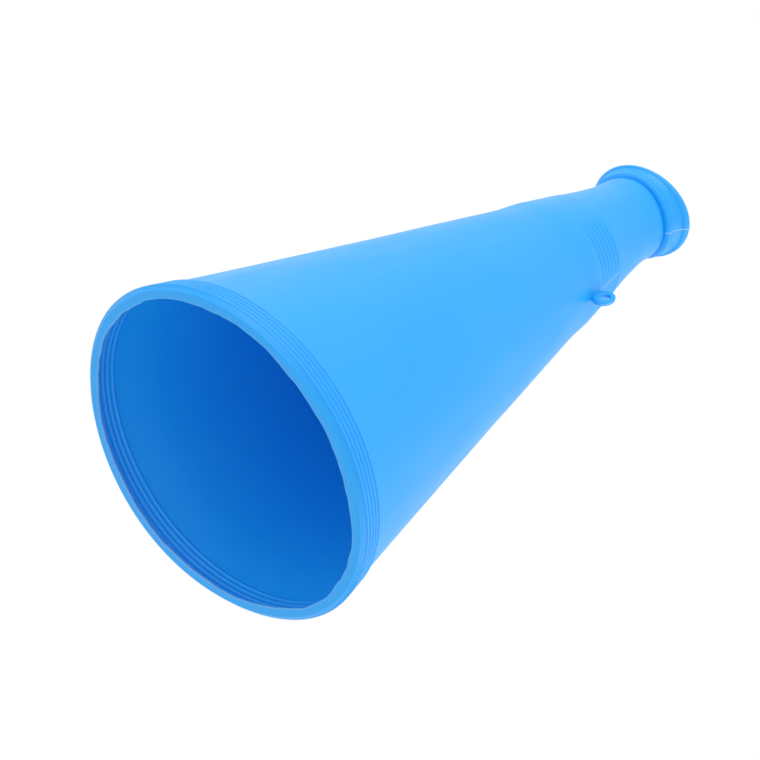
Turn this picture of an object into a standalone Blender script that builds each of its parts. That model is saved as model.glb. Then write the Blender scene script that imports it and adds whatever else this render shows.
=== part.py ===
# Stadium horn: a one-wall plastic cheering megaphone with a push-on oval mouthpiece.
# It stands on its bell rim. Z runs from the bell to the mouthpiece, and X points to the strap lug,
# so the mould's parting plane is Y = 0. Units are metres.

import bpy
import bmesh
import math
from mathutils import Matrix

# Bell and cone
BELL_RADIUS = 0.085
CONE_START_RADIUS = 0.0862
CONE_TAPER = 0.1966
WALL = 0.0016
RIM_LIP = 0.0063
RIM_THICKNESS = 0.0018
RIM_CORNER = 0.0012

# A groove's half width, as a share of the pitch of its band
GROOVE_FLANK = 0.3

# Ribbed band behind the bell rim
BELL_BAND_PROUD = 0.0010
BELL_GROOVES = 5
BELL_GROOVE_START = 0.0030
BELL_GROOVE_PITCH = 0.00263
BELL_GROOVE_DEPTH = 0.0008

# Ribbed band on the neck
NECK_GROOVES = 6
NECK_GROOVE_START = 0.2554
NECK_GROOVE_PITCH = 0.0038
NECK_GROOVE_DEPTH = 0.0007
NECK_BAND_PROUD = 0.0013
NECK_BAND_MARGIN = 0.009

# Neck end, with the spigot that the mouthpiece is pushed onto
NECK_END = 0.3350
NECK_END_PROUD = 0.0012
SPIGOT_RADIUS = 0.0192
SPIGOT_LENGTH = 0.0070
SPIGOT_LEAD = 0.0005

# Mouthpiece
FIT_CLEARANCE = 0.0003
COLLAR_RADIUS = 0.0236
BEAD_RADIUS = 0.0258
BEAD_WIDTH = 0.0040
BEAD_INSET = 0.0004
BEAD_LOW = 0.25
BEAD_MIDDLE = 0.5
BEAD_HIGH = 0.8
WAIST_RADIUS = 0.0252
FLARE_RADIUS = 0.0278
FLARE_LENGTH = 0.0044
LIP_RADIUS = 0.0300
LIP_THICKNESS = 0.0034
LIP_CORNER = 0.0008
MOUTH_RADIUS = 0.0245
LIP_OVALITY = 0.10

# Strap lug in the parting plane, just on the bell side of the neck grooves
LUG_HEIGHT = 0.2457
LUG_RADIUS = 0.0068
LUG_OUTREACH = 0.0060
LUG_THICKNESS = 0.0030
LUG_HOLE_RADIUS = 0.0031
LUG_BEVEL = 0.0006
LUG_BEVEL_ANGLE = 60.0

# How far the cutters reach past what they cut, as a factor of its size
HOLE_REACH = 3.0
PLUG_REACH = 2.0

# Colour and gloss
SKY_BLUE = (0.05, 0.39, 0.93)
HORN_ROUGHNESS = 0.45
MOUTHPIECE_ROUGHNESS = 0.40

# Facets, and the edge angle in degrees above which an edge stays sharp
TURN_STEPS = 48
LUG_STEPS = 24
SHARP_ANGLE = 40.0
MERGE = 0.00001


def cone_radius(z):
    """Outer radius of the plain cone at height z."""
    return CONE_START_RADIUS - CONE_TAPER * z


def bell_band_end():
    return BELL_GROOVE_START + (BELL_GROOVES - 0.5) * BELL_GROOVE_PITCH


def neck_band_start():
    return NECK_GROOVE_START - 0.5 * NECK_GROOVE_PITCH


def neck_band_end():
    return NECK_GROOVE_START + (NECK_GROOVES - 0.5) * NECK_GROOVE_PITCH


def grooves(start, pitch, count, proud, depth):
    """Outline of a ribbed band, bell end first: each groove is an edge, a floor and an edge."""
    points = []
    for number in range(count):
        centre = start + number * pitch
        for offset, drop in ((-GROOVE_FLANK, 0.0), (0.0, depth), (GROOVE_FLANK, 0.0)):
            z = centre + offset * pitch
            points.append((cone_radius(z) + proud - drop, z))
    return points


def horn_outside():
    """Outer outline from the bell rim up to the spigot's mouth."""
    band_end = bell_band_end()
    start = neck_band_start()
    end = neck_band_end()
    corner = BELL_RADIUS - RIM_CORNER
    points = [(corner, 0.0), (BELL_RADIUS, RIM_CORNER)]
    points += grooves(BELL_GROOVE_START, BELL_GROOVE_PITCH, BELL_GROOVES, BELL_BAND_PROUD, BELL_GROOVE_DEPTH)
    points.append((cone_radius(band_end) + BELL_BAND_PROUD, band_end))
    points.append((cone_radius(band_end + BELL_BAND_PROUD), band_end + BELL_BAND_PROUD))
    points.append((cone_radius(start - NECK_BAND_MARGIN), start - NECK_BAND_MARGIN))
    points.append((cone_radius(start) + NECK_BAND_PROUD, start))
    points += grooves(NECK_GROOVE_START, NECK_GROOVE_PITCH, NECK_GROOVES, NECK_BAND_PROUD, NECK_GROOVE_DEPTH)
    points.append((cone_radius(end) + NECK_BAND_PROUD, end))
    points.append((cone_radius(NECK_END) + NECK_END_PROUD, NECK_END))
    points.append((SPIGOT_RADIUS, NECK_END))
    points.append((SPIGOT_RADIUS, NECK_END + SPIGOT_LENGTH - SPIGOT_LEAD))
    points.append((SPIGOT_RADIUS - SPIGOT_LEAD, NECK_END + SPIGOT_LENGTH))
    return points


def horn_inside():
    """Inner outline from the spigot's mouth down to the cut edge of the bell rim.

    The wall is one sheet, so the bell's grooves show inside as ribs of the same pitch.
    """
    bore = SPIGOT_RADIUS - WALL
    shoulder = NECK_END - WALL
    end = neck_band_end()
    points = [(bore, NECK_END + SPIGOT_LENGTH), (bore, shoulder)]
    points.append((cone_radius(end) + NECK_BAND_PROUD - WALL, end))
    points.append((cone_radius(neck_band_start()) + NECK_BAND_PROUD - WALL, neck_band_start()))
    below = neck_band_start() - NECK_BAND_MARGIN
    points.append((cone_radius(below) - WALL, below))
    band_end = bell_band_end()
    points.append((cone_radius(band_end + BELL_BAND_PROUD) - WALL, band_end + BELL_BAND_PROUD))
    for number in reversed(range(BELL_GROOVES)):
        centre = BELL_GROOVE_START + number * BELL_GROOVE_PITCH
        for z, drop in ((centre + 0.5 * BELL_GROOVE_PITCH, 0.0), (centre, BELL_GROOVE_DEPTH)):
            points.append((cone_radius(z) + BELL_BAND_PROUD - WALL - drop, z))
    points.append((BELL_RADIUS - WALL, RIM_THICKNESS))
    points.append((BELL_RADIUS - RIM_LIP, RIM_THICKNESS))
    points.append((BELL_RADIUS - RIM_LIP, 0.0))
    return points


def mouthpiece_outline():
    """Closed outline: up the bead, waist, flare and lip, then down the mouth and the socket."""
    foot = NECK_END + FIT_CLEARANCE
    socket = SPIGOT_RADIUS + FIT_CLEARANCE
    socket_top = NECK_END + SPIGOT_LENGTH + FIT_CLEARANCE
    bore = SPIGOT_RADIUS - WALL
    bead_top = foot + BEAD_WIDTH
    flare_top = bead_top + FLARE_LENGTH
    lip_top = flare_top + LIP_THICKNESS
    return [
        (COLLAR_RADIUS, foot),
        (BEAD_RADIUS - BEAD_INSET, foot + BEAD_LOW * BEAD_WIDTH),
        (BEAD_RADIUS, foot + BEAD_MIDDLE * BEAD_WIDTH),
        (BEAD_RADIUS - BEAD_INSET, foot + BEAD_HIGH * BEAD_WIDTH),
        (WAIST_RADIUS, bead_top),
        (FLARE_RADIUS, flare_top),
        (LIP_RADIUS - LIP_CORNER, flare_top),
        (LIP_RADIUS, flare_top + LIP_CORNER),
        (LIP_RADIUS, lip_top - LIP_CORNER),
        (LIP_RADIUS - LIP_CORNER, lip_top),
        (MOUTH_RADIUS + LIP_CORNER, lip_top),
        (MOUTH_RADIUS, lip_top - LIP_CORNER),
        (bore, socket_top + WALL),
        (bore, socket_top),
        (socket, socket_top),
        (socket, foot),
    ]


def plastic(name, colour, roughness):
    """Semi-matte moulded polyethylene."""
    material = bpy.data.materials.new(name)
    material.use_nodes = True
    shader = material.node_tree.nodes["Principled BSDF"]
    shader.inputs["Base Color"].default_value = (*colour, 1.0)
    shader.inputs["Roughness"].default_value = roughness
    shader.inputs["Metallic"].default_value = 0.0
    return material


def add_object(name, mesh, collection, material=None):
    piece = bpy.data.objects.new(name, mesh)
    collection.objects.link(piece)
    if material is not None:
        piece.data.materials.append(material)
    return piece


def closed_profile(name, outline, collection, material=None):
    """A closed outline of (radius, height) points at +X, turned about Z.

    The outline is given up the outer side and down the inner side. It is turned the other way
    round here, so that the mesh runs down the outer side and its faces look outwards.
    """
    downwards = list(reversed(outline))
    mesh = bpy.data.meshes.new(name)
    count = len(downwards)
    edges = [(index, (index + 1) % count) for index in range(count)]
    mesh.from_pydata([(radius, 0.0, z) for radius, z in downwards], edges, [])
    piece = add_object(name, mesh, collection, material)
    turn = piece.modifiers.new("turn", "SCREW")
    turn.axis = "Z"
    turn.angle = math.tau
    turn.steps = TURN_STEPS
    turn.render_steps = TURN_STEPS
    turn.use_merge_vertices = True
    turn.merge_threshold = MERGE
    return piece


def bake(piece):
    """Replace the piece's mesh by its evaluated one, and drop the modifiers."""
    graph = bpy.context.evaluated_depsgraph_get()
    mesh = bpy.data.meshes.new_from_object(piece.evaluated_get(graph))
    piece.modifiers.clear()
    old = piece.data
    piece.data = mesh
    bpy.data.meshes.remove(old)
    mesh.name = piece.name
    return piece


def boolean(piece, tool, operation):
    tool.hide_render = True
    tool.display_type = "WIRE"
    cut = piece.modifiers.new(tool.name, "BOOLEAN")
    cut.object = tool
    cut.operation = operation
    cut.solver = "EXACT"


def disc(name, radius, length, collection, material=None):
    """A short cylinder along Y, centred on the lug's eye."""
    shape = bmesh.new()
    bmesh.ops.create_cone(shape, cap_ends=True, segments=LUG_STEPS, radius1=radius, radius2=radius, depth=length)
    bmesh.ops.rotate(shape, verts=shape.verts, matrix=Matrix.Rotation(math.pi / 2, 3, "X"))
    mesh = bpy.data.meshes.new(name)
    shape.to_mesh(mesh)
    shape.free()
    piece = add_object(name, mesh, collection, material)
    piece.location = (cone_radius(LUG_HEIGHT) + LUG_OUTREACH, 0.0, LUG_HEIGHT)
    return piece


def smooth(piece):
    piece.data.shade_smooth()
    piece.data.set_sharp_from_angle(angle=math.radians(SHARP_ANGLE))


def make_lug(cutters):
    """The flat strap eye: a round tab whose inner part is buried in the cone's wall."""
    tab = disc("lug_tab", LUG_RADIUS, LUG_THICKNESS, cutters)
    soften = tab.modifiers.new("soften", "BEVEL")
    soften.width = LUG_BEVEL
    soften.segments = 1
    soften.limit_method = "ANGLE"
    soften.angle_limit = math.radians(LUG_BEVEL_ANGLE)
    hole = disc("lug_hole", LUG_HOLE_RADIUS, HOLE_REACH * LUG_THICKNESS, cutters)
    boolean(tab, hole, "DIFFERENCE")
    return tab


def make_bore_plug(cutters):
    """What the lug must not reach: the cone's inside, as a solid of the inner wall's shape."""
    low = LUG_HEIGHT - PLUG_REACH * LUG_RADIUS
    high = LUG_HEIGHT + PLUG_REACH * LUG_RADIUS
    inner = WALL / 2.0
    plug = bmesh.new()
    bmesh.ops.create_cone(
        plug,
        cap_ends=True,
        segments=TURN_STEPS,
        radius1=cone_radius(low) - inner,
        radius2=cone_radius(high) - inner,
        depth=high - low,
    )
    mesh = bpy.data.meshes.new("bore_plug")
    plug.to_mesh(mesh)
    plug.free()
    piece = add_object("bore_plug", mesh, cutters)
    piece.location = (0.0, 0.0, LUG_HEIGHT)
    return piece


def make_horn(parts, cutters, material):
    """The blow-moulded cone: turned wall, then the strap lug joined to it."""
    horn = closed_profile("horn_cone", horn_outside() + horn_inside(), parts, material)
    tab = make_lug(cutters)
    boolean(tab, make_bore_plug(cutters), "DIFFERENCE")
    boolean(horn, tab, "UNION")
    bake(horn)
    smooth(horn)
    return horn


def make_mouthpiece(parts, material):
    """The mouthpiece: round at its socket, oval at its lip, longest in the parting plane."""
    piece = bake(closed_profile("mouthpiece", mouthpiece_outline(), parts, material))
    low = NECK_END + FIT_CLEARANCE + BEAD_WIDTH
    high = low + FLARE_LENGTH + LIP_THICKNESS
    socket_top = NECK_END + SPIGOT_LENGTH + FIT_CLEARANCE + WALL
    for vertex in piece.data.vertices:
        radius = math.hypot(vertex.co.x, vertex.co.y)
        inside = radius < MOUTH_RADIUS + MERGE
        base = socket_top if inside else low
        share = min(max((vertex.co.z - base) / (high - base), 0.0), 1.0)
        vertex.co.x *= 1.0 + LIP_OVALITY * share
        vertex.co.y *= 1.0 - LIP_OVALITY * share
    smooth(piece)
    return piece


def clear_scene():
    for item in list(bpy.data.objects):
        bpy.data.objects.remove(item, do_unlink=True)


def main():
    clear_scene()
    parts = bpy.data.collections.new("stadium_horn")
    cutters = bpy.data.collections.new("cutters")
    bpy.context.scene.collection.children.link(parts)
    bpy.context.scene.collection.children.link(cutters)
    make_horn(parts, cutters, plastic("horn_plastic", SKY_BLUE, HORN_ROUGHNESS))
    make_mouthpiece(parts, plastic("mouthpiece_plastic", SKY_BLUE, MOUTHPIECE_ROUGHNESS))


main()
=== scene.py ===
# Stadium horn: the looks of a blow-moulded cheering megaphone with an oval mouthpiece.
# Metres, in the part's frame: Z runs from the bell to the mouthpiece, X points to the strap lug.

import bpy
import math
import numpy as np
from mathutils import Matrix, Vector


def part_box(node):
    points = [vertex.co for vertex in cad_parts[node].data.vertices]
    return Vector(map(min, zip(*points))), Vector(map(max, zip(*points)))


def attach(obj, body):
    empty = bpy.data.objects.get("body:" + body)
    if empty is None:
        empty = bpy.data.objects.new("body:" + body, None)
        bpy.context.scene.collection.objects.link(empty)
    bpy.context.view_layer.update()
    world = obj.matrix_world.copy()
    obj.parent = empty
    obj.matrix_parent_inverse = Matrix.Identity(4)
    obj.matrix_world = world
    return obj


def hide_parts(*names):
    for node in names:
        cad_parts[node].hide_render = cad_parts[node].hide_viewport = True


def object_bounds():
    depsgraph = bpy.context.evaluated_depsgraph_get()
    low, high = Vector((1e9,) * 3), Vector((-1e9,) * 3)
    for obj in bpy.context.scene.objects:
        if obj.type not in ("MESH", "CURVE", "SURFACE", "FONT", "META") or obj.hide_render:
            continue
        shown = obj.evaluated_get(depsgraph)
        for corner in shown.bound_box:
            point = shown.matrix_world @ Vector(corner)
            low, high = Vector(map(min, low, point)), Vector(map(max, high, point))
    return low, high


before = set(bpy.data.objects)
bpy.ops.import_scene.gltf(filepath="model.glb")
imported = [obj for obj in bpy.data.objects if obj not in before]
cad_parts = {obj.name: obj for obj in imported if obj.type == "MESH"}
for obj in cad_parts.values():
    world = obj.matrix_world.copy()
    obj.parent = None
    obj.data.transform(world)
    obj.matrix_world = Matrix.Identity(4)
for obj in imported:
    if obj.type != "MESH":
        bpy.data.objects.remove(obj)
cad_low, cad_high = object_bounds()


# Horn cone: one thin polyethylene shell, blown into a two-part mould, with ribbed bands at the bell
# and the neck and a rim that turns in. Its trimmed edge waves, its bell has sagged out of round, and
# the mould's halves, which met in the plane Y = 0, left a fine raised line.

horn_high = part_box("horn_cone")[1]
mouth_low, mouth_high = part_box("mouthpiece")

# Taper, wall and inturned rim
CONE_TAPER = 0.1966
WALL = 0.0016
RIM_STEP = 0.0018
RIM_CORNER = 0.0012
RIM_LIP = 0.0050
RIM_THICKNESS = 0.0018

# How far sharp corners are eased
FINE_EASE = 0.0002
EDGE_EASE = 0.0003
SHOULDER_EASE = 0.0004

# Ribbed band at the bell, and how softly it ends outside and inside
BAND_PROUD = 0.0010
BAND_START = 0.0022
BAND_MARGIN = 0.0002
BELL_BAND_END = 0.0150
BELL_GROOVE_START = 0.0030
BELL_GROOVE_PITCH = 0.00263
BELL_GROOVE_COUNT = 5
BELL_GROOVE_WIDTH = 0.00055
BELL_GROOVE_DEPTH = 0.0008
INNER_RIB_SHARE = 0.6
OUTER_FADE = 0.0014
INNER_FADE = 0.0200

# Neck's raised band and its grooves, whose reach is the cosines, measured from the parting plane,
# between which they come in
NECK_BAND_PROUD = 0.0013
NECK_BAND_DROP = 0.0004
NECK_GROOVE_START = 0.2554
NECK_GROOVE_PITCH = 0.0038
NECK_GROOVE_COUNT = 6
NECK_GROOVE_WIDTH = 0.0007
NECK_GROOVE_DEPTH = 0.0007
NECK_GROOVE_REACH = (0.30, 0.75)

# Waist and swells of the neck, and a slight belly of the cone below it
NECK_WAIST = 0.0003
NECK_SWELL = 0.0008
END_SWELL = 0.0017
BELLY = 0.00025

# Heights between which those forms rise or fall, or from which they rise to the neck's end
NECK_BAND_RISE = (0.2320, 0.2540)
NECK_BAND_FALL = (0.2770, 0.2860)
NECK_WAIST_RISE = (0.2820, 0.3000)
NECK_SWELL_START = 0.3040
END_SWELL_START = 0.3160
BELLY_RISE = (0.1400, 0.1800)
BELLY_FALL = (0.2400, 0.2700)

# Spigot under the mouthpiece, and how far the bore runs on below it, as a share of the wall
SPIGOT_RADIUS = 0.0192
SPIGOT_LEAD = 0.0005
FIT_CLEARANCE = 0.0003
SHOULDER_SHARE = 0.8

# Crease at the mouthpiece, nearer the bell at the parting plane
DIP_DEPTH = 0.0040
DIP_FROM = 0.300
DIP_CLEAR = 0.004
DIP_RADIUS = 0.0198
DIP_BLEND = 0.0012

# Ovals: the bell's fades out up the cone, and the neck's comes in outside the round spigot
BELL_OVAL = 0.028
BELL_OVAL_END = 0.26
NECK_OVAL = 0.07
NECK_OVAL_START = 0.29
NECK_OVAL_MARGIN = 0.001

# Sag, even and as (waves round the rim, cosine, sine, fading height), and a slight warp
SLOW_FADE = 0.09
QUICK_FADE = 0.025
SAG_EVEN = 0.00074
SAG_WAVES = (
    (1, -0.00069, -0.00034, SLOW_FADE),
    (2, 0.00017, 0.00028, SLOW_FADE),
    (3, 0.00051, 0.00044, QUICK_FADE),
    (4, -0.00019, 0.00032, QUICK_FADE),
)
WARP_HEIGHT = 0.00012
WARP_WAVES = 3.0
WARP_SHIFT = 1.0
WARP_ALONG = 23.0

# Raised line of the parting plane: higher as a scar across the neck's grooves and as a web at the
# mouthpiece, and torn unevenly
SEAM_HEIGHT = 0.00012
SEAM_WIDTH = 0.00035
SCAR_HEIGHT = 0.00028
SCAR_RISE = (0.252, 0.256)
SCAR_FALL = (0.276, 0.280)
WEB_HEIGHT = 0.0004
WEB_START = 0.318
TEAR_BASE = 0.7
TEAR_SWING = 0.3
TEAR_FINE = 2600.0
TEAR_COARSE = 910.0
TEAR_SHIFT = 1.0

# Thickening round the strap lug's root, and the sink mark on its bell side
FAIRING_HEIGHT = 0.0010
FAIRING_SIDE = 0.0026
FAIRING_PLACE = 0.2455
FAIRING_LENGTH = 0.0062
SINK_DEPTH = 0.0003
SINK_SIDE = 0.0045
SINK_PLACE = 0.2345
SINK_LENGTH = 0.0040

# Wavy cut edge of the flange, as (height, waves, shift, waves of its swell, shift of its swell)
TRIM_WAVES = (
    (0.00034, 9.0, 0.6, 0.0, math.pi / 2),
    (0.00026, 23.0, 0.0, 2.0, 0.4),
    (0.00018, 47.0, 1.0, 5.0, 0.0),
)
TRIM_START = 0.001
FLANGE_MARGIN = 0.0001

# Pale plastic: along the scar, and on the cut edge
SCAR_PALENESS = 0.55
PALE_WIDTH = 0.00045
PALE_RISE = (0.253, 0.255)
PALE_FALL = (0.275, 0.277)
EDGE_PALENESS = 0.30
EDGE_BAND = 0.0004

# Colours, and the gloss from its smoothest to its roughest patches
DEEP_BLUE = (0.003, 0.360, 0.920, 1.0)
SKY_BLUE = (0.010, 0.385, 0.940, 1.0)
STRESSED_BLUE = (0.50, 0.80, 0.98, 1.0)
HORN_GLOSS = (0.38, 0.50)
PLASTIC_IOR = 1.5

# Noises as (scale, detail), the patches' stretch in X, Y and Z and the part of their noise that is
# used, and the bump of the grain
CLOUDS = (18.0, 4.0)
PATCHES = (1.0, 6.0)
PATCH_STRETCH = (70.0, 70.0, 9.0)
PATCH_RANGE = (0.3, 0.7)
GRAIN = (900.0, 2.0)
GRAIN_STRENGTH = 0.12
GRAIN_HEIGHT = 0.0001

cone_start = horn_high.x - BAND_PROUD + CONE_TAPER * BAND_START
bell_radius = horn_high.x - RIM_STEP
flange_radius = bell_radius - RIM_LIP
neck_end = mouth_low.z - FIT_CLEARANCE
spigot_end = horn_high.z
bore = SPIGOT_RADIUS - WALL
bell_grooves = BELL_GROOVE_START + BELL_GROOVE_PITCH * np.arange(BELL_GROOVE_COUNT)
neck_grooves = NECK_GROOVE_START + NECK_GROOVE_PITCH * np.arange(NECK_GROOVE_COUNT)

# Columns round the axis, and rows along the outline. A stretch of a side is (start, end, rows), and
# the rows lie closer where there are grooves.
COLUMNS = 256
CROWDING = 0.4
FACE_ROWS = 8
CORNER_ROWS = 7
BACK_ROWS = 6
outer_stretches = (
    (BAND_START, BELL_BAND_END + 0.002, 84),
    (BELL_BAND_END + 0.003, 0.2435, 34),
    (0.2440, 0.2830, 100),
    (0.2850, neck_end - 0.0005, 26),
)
inner_stretches = (
    (neck_end - WALL, 0.2840, 14),
    (0.2820, 0.2420, 20),
    (0.2380, 0.0200, 26),
    (0.0170, RIM_THICKNESS + 0.0004, 42),
)


def rise(values, start, end):
    """Smooth step from 0 at start to 1 at end: 3 t squared less 2 t cubed."""
    share = np.clip((values - start) / (end - start), 0.0, 1.0)
    return share * share * (3.0 - 2.0 * share)


def bell_curve(distance, width):
    """Exp of minus the square of distance over width."""
    return np.exp(-((distance / width) ** 2))


def dips(z, centres, width):
    """Sum of bell curves in height, one at each groove's centre."""
    return bell_curve(z[:, None] - centres[None, :], width).sum(axis=1)


def cone_radius(z, band_fade):
    """Straight taper, plus the bell's band, the neck's band, waist and swells, and the belly.

    Each of them comes in or goes out by a smooth step between its own two heights.
    """
    plain = cone_start - CONE_TAPER * z
    bell_band = BAND_PROUD * (1.0 - rise(z, BELL_BAND_END, BELL_BAND_END + band_fade))
    neck_band = NECK_BAND_PROUD * rise(z, *NECK_BAND_RISE) - NECK_BAND_DROP * rise(z, *NECK_BAND_FALL)
    neck = NECK_SWELL * rise(z, NECK_SWELL_START, neck_end) - NECK_WAIST * rise(z, *NECK_WAIST_RISE)
    end_swell = END_SWELL * rise(z, END_SWELL_START, neck_end)
    belly = BELLY * rise(z, *BELLY_RISE) * (1.0 - rise(z, *BELLY_FALL))
    return plain + bell_band + neck_band + neck + end_swell + belly


def around(count):
    """Angles round the axis, crowded at the parting plane: an even turn less 0.4 sine of twice it."""
    turn = np.arange(count) * math.tau / count
    return turn - CROWDING * np.sin(2.0 * turn)


def dipped(z, radius, angle):
    """Height less the crease's dip: its depth times the angle's cosine squared.

    It comes in and goes out by smooth steps in height, and comes in outwards by one in radius, so
    that the spigot and the socket stay straight.
    """
    along = rise(z, DIP_FROM, neck_end) * (1.0 - rise(z, neck_end + DIP_CLEAR, mouth_high.z))
    outside = rise(radius, DIP_RADIUS, DIP_RADIUS + DIP_BLEND)
    return z - DIP_DEPTH * along * outside * np.cos(angle) ** 2


def horn_outline():
    """Radius, height and outer rows of the closed outline, which starts at the rim's cut edge.

    It runs out along the face that the horn stands on, round the rim's corner as a quarter circle,
    up the outer side, over the spigot, down the inner side, which is the outer one less the wall,
    and back to the cut edge along the rim's inner face.
    """
    corner_turn = np.linspace(-math.pi / 2, 0.0, CORNER_ROWS)
    outer_z = np.concatenate([np.linspace(*stretch) for stretch in outer_stretches])
    inner_z = np.concatenate([np.linspace(*stretch) for stretch in inner_stretches])
    end_radius = cone_radius(np.array([neck_end]), OUTER_FADE)[0]
    spigot = np.array([
        (end_radius - SHOULDER_EASE, neck_end),
        (SPIGOT_RADIUS + FINE_EASE, neck_end),
        (SPIGOT_RADIUS, neck_end + SHOULDER_EASE),
        (SPIGOT_RADIUS, spigot_end - SPIGOT_LEAD),
        (SPIGOT_RADIUS - SPIGOT_LEAD, spigot_end),
        (bore + FINE_EASE, spigot_end),
        (bore, spigot_end - EDGE_EASE),
        (bore, neck_end - SHOULDER_SHARE * WALL),
    ])
    radius = np.concatenate((
        np.linspace(flange_radius, bell_radius - RIM_CORNER - FINE_EASE, FACE_ROWS),
        bell_radius - RIM_CORNER + RIM_CORNER * np.cos(corner_turn),
        cone_radius(outer_z, OUTER_FADE),
        spigot[:, 0],
        cone_radius(inner_z, INNER_FADE) - WALL,
        np.linspace(bell_radius - 2.0 * WALL, flange_radius + EDGE_EASE, BACK_ROWS),
        [flange_radius],
    ))
    z = np.concatenate((
        np.zeros(FACE_ROWS),
        RIM_CORNER + RIM_CORNER * np.sin(corner_turn),
        outer_z,
        spigot[:, 1],
        inner_z,
        np.full(BACK_ROWS, RIM_THICKNESS),
        [RIM_THICKNESS - EDGE_EASE],
    ))
    is_outer = np.arange(len(z)) < FACE_ROWS + CORNER_ROWS + len(outer_z)
    return radius, z, is_outer


def seam_tear(height):
    """How torn the seam is: a base, plus a swing times a fine and a coarse sine of height."""
    return TEAR_BASE + TEAR_SWING * np.sin(height * TEAR_FINE) * np.sin(height * TEAR_COARSE + TEAR_SHIFT)


def lug_root(height, side):
    """Fairing less sink mark, each a bell curve sideways times a bell curve in height."""
    fairing = bell_curve(side, FAIRING_SIDE) * bell_curve(height - FAIRING_PLACE, FAIRING_LENGTH)
    sink = bell_curve(side, SINK_SIDE) * bell_curve(height - SINK_PLACE, SINK_LENGTH)
    return FAIRING_HEIGHT * fairing - SINK_DEPTH * sink


def bell_sag(height, angle):
    """Warp, plus an even swelling and waves round the rim.

    The warp is a sine of the angle times a sine of height. The swelling and each wave, a cosine and
    a sine of whole turns, fade as exp of minus the height over a fading height.
    """
    warp = WARP_HEIGHT * np.sin(WARP_WAVES * angle + WARP_SHIFT) * np.sin(height * WARP_ALONG)
    sag = warp + SAG_EVEN * np.exp(-height / SLOW_FADE)
    for waves, cosine, sine, fade in SAG_WAVES:
        lobes = cosine * np.cos(waves * angle) + sine * np.sin(waves * angle)
        sag = sag + lobes * np.exp(-height / fade)
    return sag


def trimmed_edge(angle):
    """Sum of sines of the angle, each of the faster ones swelling and ebbing by a slower sine."""
    wave = 0.0
    for size, waves, shift, swell, swell_shift in TRIM_WAVES:
        wave = wave + size * np.sin(waves * angle + shift) * np.sin(swell * angle + swell_shift)
    return wave


def horn_surface(angle):
    """Points over outline row and angle, and how pale the plastic is at each.

    The radius is the outline's, less the grooves, plus the seam, the lug's root, the sag and the
    waves of the cut edge. X is the radius times the cosine of the angle, widened by the ovals. Y is
    the radius times the sine, narrowed by the bell's oval. Z is the outline's, less the dip. The
    paleness is a bell curve across the scar, times the tear, and one value on the cut edge.
    """
    outline_radius, outline_z, is_outer = horn_outline()
    in_band = (outline_radius > bell_radius - 2.0 * WALL) & (outline_z > BAND_START - BAND_MARGIN)
    rib_share = np.where(is_outer, 1.0, INNER_RIB_SHARE)
    ribs = rib_share * BELL_GROOVE_DEPTH * dips(outline_z, bell_grooves, BELL_GROOVE_WIDTH)
    bell_dip = np.where(in_band, ribs, 0.0)[:, None]
    neck_rings = NECK_GROOVE_DEPTH * dips(outline_z, neck_grooves, NECK_GROOVE_WIDTH)
    neck_dip = np.where(is_outer, neck_rings, 0.0)[:, None]

    plain = outline_radius[:, None]
    height = outline_z[:, None]
    outward = is_outer[:, None] & (height > BAND_START)
    side = plain * np.sin(angle)
    lug_side = np.cos(angle) > 0.0
    groove_share = rise(np.abs(np.cos(angle)), *NECK_GROOVE_REACH)

    scarred = rise(height, *SCAR_RISE) * (1.0 - rise(height, *SCAR_FALL))
    seam_height = SEAM_HEIGHT + SCAR_HEIGHT * scarred + WEB_HEIGHT * rise(height, WEB_START, neck_end)
    seam = np.where(outward, seam_height * seam_tear(height) * bell_curve(side, SEAM_WIDTH), 0.0)
    near_lug = np.where(outward & lug_side, lug_root(height, side), 0.0)

    by_flange = height < RIM_THICKNESS + FLANGE_MARGIN
    on_flange = by_flange & (plain < bell_radius - TRIM_START)
    trim_share = np.clip((bell_radius - plain) / RIM_LIP, 0.0, 1.0)
    trim = np.where(on_flange, trimmed_edge(angle) * trim_share, 0.0)

    radius = plain - bell_dip - neck_dip * groove_share + seam + near_lug
    radius = radius + bell_sag(height, angle) + trim
    bell_oval = BELL_OVAL * (1.0 - rise(height, 0.0, BELL_OVAL_END))
    outside_spigot = plain > SPIGOT_RADIUS + NECK_OVAL_MARGIN
    neck_oval = NECK_OVAL * rise(height, NECK_OVAL_START, neck_end) * outside_spigot
    points = np.stack((
        radius * np.cos(angle) * (1.0 + bell_oval + neck_oval),
        radius * np.sin(angle) * (1.0 - bell_oval),
        dipped(height, plain, angle),
    ), axis=-1)

    pale_stretch = rise(height, *PALE_RISE) * (1.0 - rise(height, *PALE_FALL))
    pale_scar = SCAR_PALENESS * bell_curve(side, PALE_WIDTH) * pale_stretch * seam_tear(height)
    cut_edge = by_flange & (np.abs(plain - flange_radius) < EDGE_BAND)
    pale = np.maximum(np.where(outward & lug_side, pale_scar, 0.0), np.where(cut_edge, EDGE_PALENESS, 0.0))
    return points, pale


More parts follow.
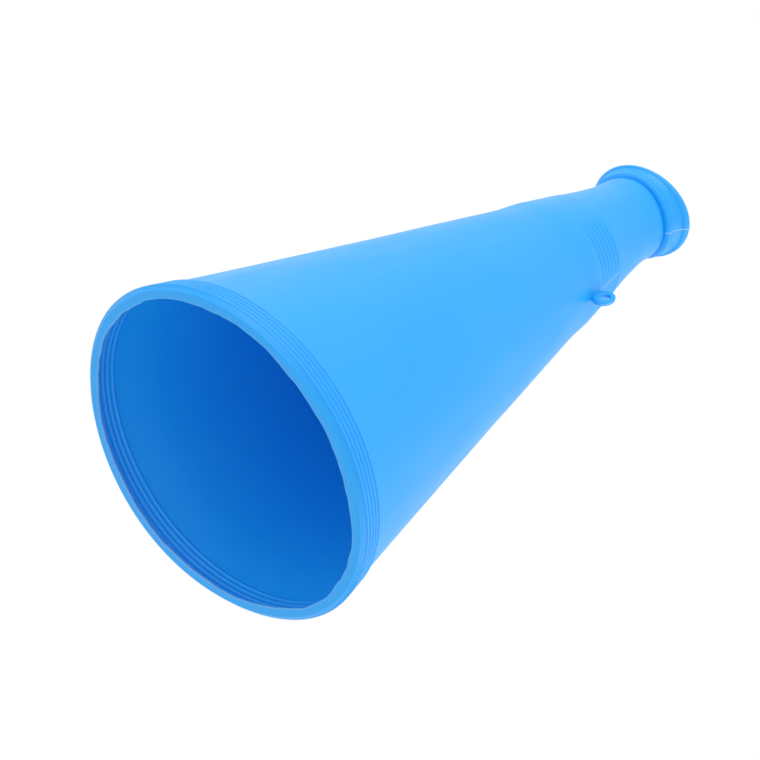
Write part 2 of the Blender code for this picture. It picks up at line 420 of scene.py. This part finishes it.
def closed_piece(name, points, pale, material, slot):
    """A mesh closed both ways from a grid of points: each cell between rows and columns is one quad."""
    rows, columns = points.shape[:2]
    row, column = np.meshgrid(np.arange(rows), np.arange(columns), indexing="ij")
    next_row = (row + 1) % rows
    next_column = (column + 1) % columns
    corners = (
        row * columns + column,
        row * columns + next_column,
        next_row * columns + next_column,
        next_row * columns + column,
    )
    quads = np.stack(corners, axis=-1).reshape(-1, 4)
    mesh = bpy.data.meshes.new(name)
    mesh.from_pydata(points.reshape(-1, 3).tolist(), [], quads.tolist())
    mesh.shade_smooth()
    paleness = mesh.attributes.new("pale", "FLOAT", "POINT")
    paleness.data.foreach_set("value", pale.reshape(-1).astype(np.float32))
    mesh.materials.append(material)
    piece = bpy.data.objects.new(name, mesh)
    bpy.context.scene.collection.objects.link(piece)
    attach(piece, "root")
    return piece


def plastic(name, gloss):
    """Sky-blue polyethylene: clouded colour, patchy gloss, fine grain, and pale where it was stressed.

    The colour goes from one blue to the other by a noise, and then towards a pale blue by the mesh's
    own paleness. The gloss goes between its two values by a noise that is drawn out along Z. The
    grain is a fine noise, taken as height.
    """
    material = bpy.data.materials.new(name)
    material.use_nodes = True
    nodes = material.node_tree.nodes
    links = material.node_tree.links
    shader = nodes["Principled BSDF"]
    shader.inputs["IOR"].default_value = PLASTIC_IOR
    place = nodes.new("ShaderNodeTexCoord").outputs["Object"]

    def noise(vector, scale, detail):
        """A noise's value, from 0 to 1, at a vector."""
        node = nodes.new("ShaderNodeTexNoise")
        node.inputs["Scale"].default_value = scale
        node.inputs["Detail"].default_value = detail
        links.new(vector, node.inputs["Vector"])
        return node.outputs["Fac"]

    def towards(colour, share):
        """A mix that goes from its colour A to the given one as the share goes from 0 to 1."""
        node = nodes.new("ShaderNodeMix")
        node.data_type = "RGBA"
        node.inputs["B"].default_value = colour
        links.new(share, node.inputs["Factor"])
        return node

    clouded = towards(SKY_BLUE, noise(place, *CLOUDS))
    clouded.inputs["A"].default_value = DEEP_BLUE
    stress = nodes.new("ShaderNodeAttribute")
    stress.attribute_name = "pale"
    paled = towards(STRESSED_BLUE, stress.outputs["Fac"])
    links.new(clouded.outputs["Result"], paled.inputs["A"])
    links.new(paled.outputs["Result"], shader.inputs["Base Color"])

    stretch = nodes.new("ShaderNodeMapping")
    stretch.inputs["Scale"].default_value = PATCH_STRETCH
    links.new(place, stretch.inputs["Vector"])
    patches = nodes.new("ShaderNodeMapRange")
    limits = ("From Min", "From Max", "To Min", "To Max")
    for limit, value in zip(limits, (*PATCH_RANGE, *gloss)):
        patches.inputs[limit].default_value = value
    links.new(noise(stretch.outputs["Vector"], *PATCHES), patches.inputs["Value"])
    links.new(patches.outputs["Result"], shader.inputs["Roughness"])

    grain = nodes.new("ShaderNodeBump")
    grain.inputs["Strength"].default_value = GRAIN_STRENGTH
    grain.inputs["Distance"].default_value = GRAIN_HEIGHT
    links.new(noise(place, *GRAIN), grain.inputs["Height"])
    links.new(grain.outputs["Normal"], shader.inputs["Normal"])
    return material


angle = around(COLUMNS)[None, :]
horn_plastic = plastic("horn_plastic", HORN_GLOSS)
cone = closed_piece("horn_shell", *horn_surface(angle), horn_plastic, "horn_plastic")
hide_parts("horn_cone")


# Strap lug: a flat oval eye of the same plastic, squeezed solid where the mould's halves met, and in
# one piece with the cone. A cord or split ring would pass through it.

LUG_RADIUS = 0.0447
LUG_HEIGHT = 0.2460
LUG_HALF_WIDTH = 0.0054
LUG_HALF_LENGTH = 0.0068
EYE_HALF_WIDTH = 0.0026
EYE_HALF_LENGTH = 0.0032
LUG_HALF_THICKNESS = 0.0014
LUG_SINK = 0.0018
LUG_SQUARENESS = 0.62
LUG_ROWS = 96
LUG_COLUMNS = 32
RIM_LINE_PALENESS = 0.25
RIM_LINE_WIDTH = 0.25
RIM_LINE_START = 0.9


def lug_surface():
    """Points over the angle round the eye and the angle round the bar, and how pale each is.

    The bar's section is a rounded box: its cosine and its sine, each to the power of the squareness.
    By the cosine X and Z go from the eye's oval to the outer one, and by the sine Y goes from one
    face to the other. The cone's side is moved inwards, into the wall. The paleness is a bell curve
    across the outer edge.
    """
    turn = (np.arange(LUG_ROWS) * math.tau / LUG_ROWS)[:, None]
    section = (np.arange(LUG_COLUMNS) * math.tau / LUG_COLUMNS)[None, :]
    share = 0.5 + 0.5 * np.sign(np.cos(section)) * np.abs(np.cos(section)) ** LUG_SQUARENESS
    thick = np.sign(np.sin(section)) * np.abs(np.sin(section)) ** LUG_SQUARENESS
    sunk = LUG_SINK * np.clip(-np.cos(turn), 0.0, 1.0)
    across = EYE_HALF_WIDTH + (LUG_HALF_WIDTH - EYE_HALF_WIDTH) * share
    along = EYE_HALF_LENGTH + (LUG_HALF_LENGTH - EYE_HALF_LENGTH) * share
    points = np.stack(np.broadcast_arrays(
        LUG_RADIUS + across * np.cos(turn) - sunk * share,
        LUG_HALF_THICKNESS * thick,
        LUG_HEIGHT + along * np.sin(turn),
    ), axis=-1)
    rim_line = RIM_LINE_PALENESS * bell_curve(thick, RIM_LINE_WIDTH) * (share > RIM_LINE_START)
    return points, np.broadcast_to(rim_line, points.shape[:2])


closed_piece("strap_lug", *lug_surface(), horn_plastic, "horn_plastic")


# Mouthpiece: a moulded polyethylene ring pushed onto the neck's end, with a bead, a flare and a
# rounded oval lip that goes round the mouth. Flash stands on it in the mould's parting plane.

LIP_OVALITY = 0.10
LIP_OVAL_START = 0.0215
LIP_OVAL_INSET = 0.001
LIP_OVAL_FOOT = 0.004
BEAD_OVALITY = 0.09
BEAD_OVAL_RISE = (0.0197, 0.0240)
FLASH_HEIGHT = 0.0005
FLASH_WIDTH = 0.00035
FLASH_RADIUS = 0.0236
FLASH_PALENESS = 0.6
MOUTHPIECE_GLOSS = (0.34, 0.46)

# Bead and flare as (radius, height above the foot), and lip as (inset, depth below the top)
BEAD_AND_FLARE = (
    (0.0232, 0.0),
    (0.0246, 0.0004),
    (0.0257, 0.0013),
    (0.0259, 0.0023),
    (0.0255, 0.0033),
    (0.0251, 0.0041),
    (0.0253, 0.0052),
    (0.0263, 0.0068),
    (0.0275, 0.0081),
)
LIP = (
    (0.0012, 0.0034),
    (0.0003, 0.0027),
    (0.0, 0.0017),
    (0.0003, 0.0007),
    (0.0011, 0.0001),
    (0.0022, 0.0),
    (0.0038, 0.0004),
)

# Funnel as (radius, depth below the top), down to the bore
funnel = (
    (0.0246, 0.0012),
    (0.0228, 0.0024),
    (0.0196, 0.0032),
    (bore + 0.0004, 0.0034),
    (bore, 0.0038),
)

# Rows of the outline, and those between which it is on the outside, from the foot to the lip's end
MOUTHPIECE_ROWS = 200
FOOT_ROW = 12
LIP_END_ROW = 118
SMOOTHING = np.array([1.0, 2.0, 3.0, 2.0, 1.0]) / 9.0

foot = mouth_low.z
top = mouth_high.z
lip_radius = mouth_high.x / (1.0 + LIP_OVALITY)
socket = SPIGOT_RADIUS + FIT_CLEARANCE
socket_top = spigot_end + FIT_CLEARANCE


def mouthpiece_outline():
    """Radius and height at even steps along the closed line of corners, then softened.

    Each value becomes a weighted mean of itself and two neighbours either way.
    """
    corners = np.array([
        (socket, foot + FINE_EASE),
        (socket + EDGE_EASE, foot),
        *((radius, foot + height) for radius, height in BEAD_AND_FLARE),
        *((lip_radius - inset, top - depth) for inset, depth in LIP),
        *((radius, top - depth) for radius, depth in funnel),
        (bore, socket_top + FINE_EASE),
        (bore + FINE_EASE, socket_top),
        (socket - FINE_EASE, socket_top),
        (socket, socket_top - FINE_EASE),
    ])
    lengths = np.hypot(*np.diff(corners, axis=0).T)
    steps = np.concatenate(([0.0], np.cumsum(lengths)))
    fine = np.linspace(0.0, steps[-1], MOUTHPIECE_ROWS)
    radius = np.interp(fine, steps, corners[:, 0])
    z = np.interp(fine, steps, corners[:, 1])
    radius[2:-2] = np.convolve(radius, SMOOTHING, "valid")
    z[2:-2] = np.convolve(z, SMOOTHING, "valid")
    return radius, z


def mouthpiece_surface(angle):
    """Points over outline row and angle, and how pale the plastic is at each.

    The radius is the outline's plus the flash, a bell curve across the parting plane. X is the
    radius times the cosine of the angle, widened by the ovals, which come in with the radius. Y is
    the radius times the sine, narrowed towards the top. Z is the outline's, less the crease's dip
    outside the funnel. The flash is pale.
    """
    outline_radius, outline_z = mouthpiece_outline()
    row = np.arange(MOUTHPIECE_ROWS)
    has_flash = (row > FOOT_ROW) & (outline_radius > FLASH_RADIUS) & (row < LIP_END_ROW)
    in_funnel = (row > LIP_END_ROW)[:, None]
    plain = outline_radius[:, None]
    height = outline_z[:, None]
    flash = bell_curve(plain * np.sin(angle), FLASH_WIDTH) * has_flash[:, None]
    radius = plain + FLASH_HEIGHT * flash
    lip_share = rise(plain, LIP_OVAL_START, lip_radius - LIP_OVAL_INSET)
    bead_share = rise(plain, *BEAD_OVAL_RISE)
    widened = BEAD_OVALITY * bead_share + (LIP_OVALITY - BEAD_OVALITY) * lip_share
    narrowed = LIP_OVALITY * rise(height, foot + LIP_OVAL_FOOT, top) * lip_share
    points = np.stack((
        radius * np.cos(angle) * (1.0 + widened),
        radius * np.sin(angle) * (1.0 - narrowed),
        np.where(in_funnel, height, dipped(height, plain, angle)),
    ), axis=-1)
    return points, FLASH_PALENESS * flash


mouthpiece_plastic = plastic("mouthpiece_plastic", MOUTHPIECE_GLOSS)
ring = closed_piece("mouthpiece_ring", *mouthpiece_surface(angle), mouthpiece_plastic, "mouthpiece_plastic")
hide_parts("mouthpiece")


# Floor: a pale studio table under the bell rim. The photo's view is from below its height, so only
# rays that leave the camera and meet it from above see it.

FLOOR_HALF = 40.0
FLOOR_DROP = 0.0002
TABLE_COLOUR = (0.97, 0.97, 0.97, 1.0)
TABLE_ROUGHNESS = 0.9

floor_mesh = bpy.data.meshes.new("floor")
floor_corners = [(-1, -1), (1, -1), (1, 1), (-1, 1)]
floor_points = [(x * FLOOR_HALF, y * FLOOR_HALF, -FLOOR_DROP) for x, y in floor_corners]
floor_mesh.from_pydata(floor_points, [], [(0, 1, 2, 3)])
floor = bpy.data.objects.new("floor", floor_mesh)
bpy.context.scene.collection.objects.link(floor)

table_paint = bpy.data.materials.new("table_paint")
table_paint.use_nodes = True
nodes = table_paint.node_tree.nodes
links = table_paint.node_tree.links
paint = nodes["Principled BSDF"]
paint.inputs["Base Color"].default_value = TABLE_COLOUR
paint.inputs["Roughness"].default_value = TABLE_ROUGHNESS
paths = nodes.new("ShaderNodeLightPath")
facing = nodes.new("ShaderNodeNewGeometry")
above = nodes.new("ShaderNodeMath")
above.operation = "SUBTRACT"
above.use_clamp = True
links.new(paths.outputs["Is Camera Ray"], above.inputs[0])
links.new(facing.outputs["Backfacing"], above.inputs[1])
clear = nodes.new("ShaderNodeBsdfTransparent")
shown = nodes.new("ShaderNodeMixShader")
links.new(above.outputs[0], shown.inputs["Fac"])
links.new(clear.outputs[0], shown.inputs[1])
links.new(paint.outputs[0], shown.inputs[2])
links.new(shown.outputs[0], nodes["Material Output"].inputs["Surface"])
floor_mesh.materials.append(table_paint)


# Light: an even white tent, a large soft lamp on the side that is up in the photo, and a weaker one
# opposite. The camera, gloss and clear things see the tent as plain white.

WHITE = (1.0, 1.0, 1.0, 1.0)
AMBIENT = 0.90
BACKDROP_BRIGHTNESS = 1.0
LAMP_SIZE = 1.4
LAMP_DISTANCE = 1.6

# Lamps as (name, power, side that it stands on)
LAMPS = (
    ("key", 9.0, (-0.10, -0.98, 0.12)),
    ("fill", 7.0, (0.775, 0.588, 0.186)),
)

world = bpy.data.worlds.new("tent")
world.use_nodes = True
bpy.context.scene.world = world
nodes = world.node_tree.nodes
links = world.node_tree.links
tent = nodes["Background"]
tent.inputs["Color"].default_value = WHITE
tent.inputs["Strength"].default_value = AMBIENT
seen = nodes.new("ShaderNodeBackground")
seen.inputs["Color"].default_value = WHITE
seen.inputs["Strength"].default_value = BACKDROP_BRIGHTNESS
paths = nodes.new("ShaderNodeLightPath")
camera_or_glossy = nodes.new("ShaderNodeMath")
camera_or_glossy.operation = "MAXIMUM"
links.new(paths.outputs["Is Camera Ray"], camera_or_glossy.inputs[0])
links.new(paths.outputs["Is Glossy Ray"], camera_or_glossy.inputs[1])
or_transmitted = nodes.new("ShaderNodeMath")
or_transmitted.operation = "MAXIMUM"
links.new(camera_or_glossy.outputs[0], or_transmitted.inputs[0])
links.new(paths.outputs["Is Transmission Ray"], or_transmitted.inputs[1])
backdrop = nodes.new("ShaderNodeMixShader")
links.new(or_transmitted.outputs[0], backdrop.inputs["Fac"])
links.new(tent.outputs[0], backdrop.inputs[1])
links.new(seen.outputs[0], backdrop.inputs[2])
links.new(backdrop.outputs[0], nodes["World Output"].inputs["Surface"])

aim = (cad_low + cad_high) / 2.0
for name, power, side in LAMPS:
    lamp_data = bpy.data.lights.new(name, "AREA")
    lamp_data.shape = "DISK"
    lamp_data.size = LAMP_SIZE
    lamp_data.energy = power
    lamp = bpy.data.objects.new(name, lamp_data)
    bpy.context.scene.collection.objects.link(lamp)
    lamp.location = [aim[axis] + LAMP_DISTANCE * side[axis] for axis in range(3)]
    lamp.rotation_euler = (aim - lamp.location).to_track_quat("-Z", "Y").to_euler()


# Camera: the photo's own view, from below the table's height into the bell, with the mouthpiece far
# off at the upper right. Its place and turn were worked out from the photo.

CAMERA_PLACE = (0.5666, -0.5275, -0.5502)
CAMERA_RIGHT = (0.7565, -0.0121, 0.6539)
CAMERA_UP = (-0.3501, -0.8520, 0.3892)
CAMERA_BACK = (0.5524, -0.5234, -0.6488)
SENSOR_MM = 36.0
LENS_MM = 96.25

camera_data = bpy.data.cameras.new("camera")
camera_data.sensor_width = SENSOR_MM
camera_data.lens = LENS_MM
camera = bpy.data.objects.new("camera", camera_data)
bpy.context.scene.collection.objects.link(camera)
rows = zip(CAMERA_RIGHT, CAMERA_UP, CAMERA_BACK, CAMERA_PLACE)
camera.matrix_world = Matrix([*(tuple(row) for row in rows), (0.0, 0.0, 0.0, 1.0)])
bpy.context.scene.camera = camera
bpy.context.scene.view_settings.view_transform = "Standard"
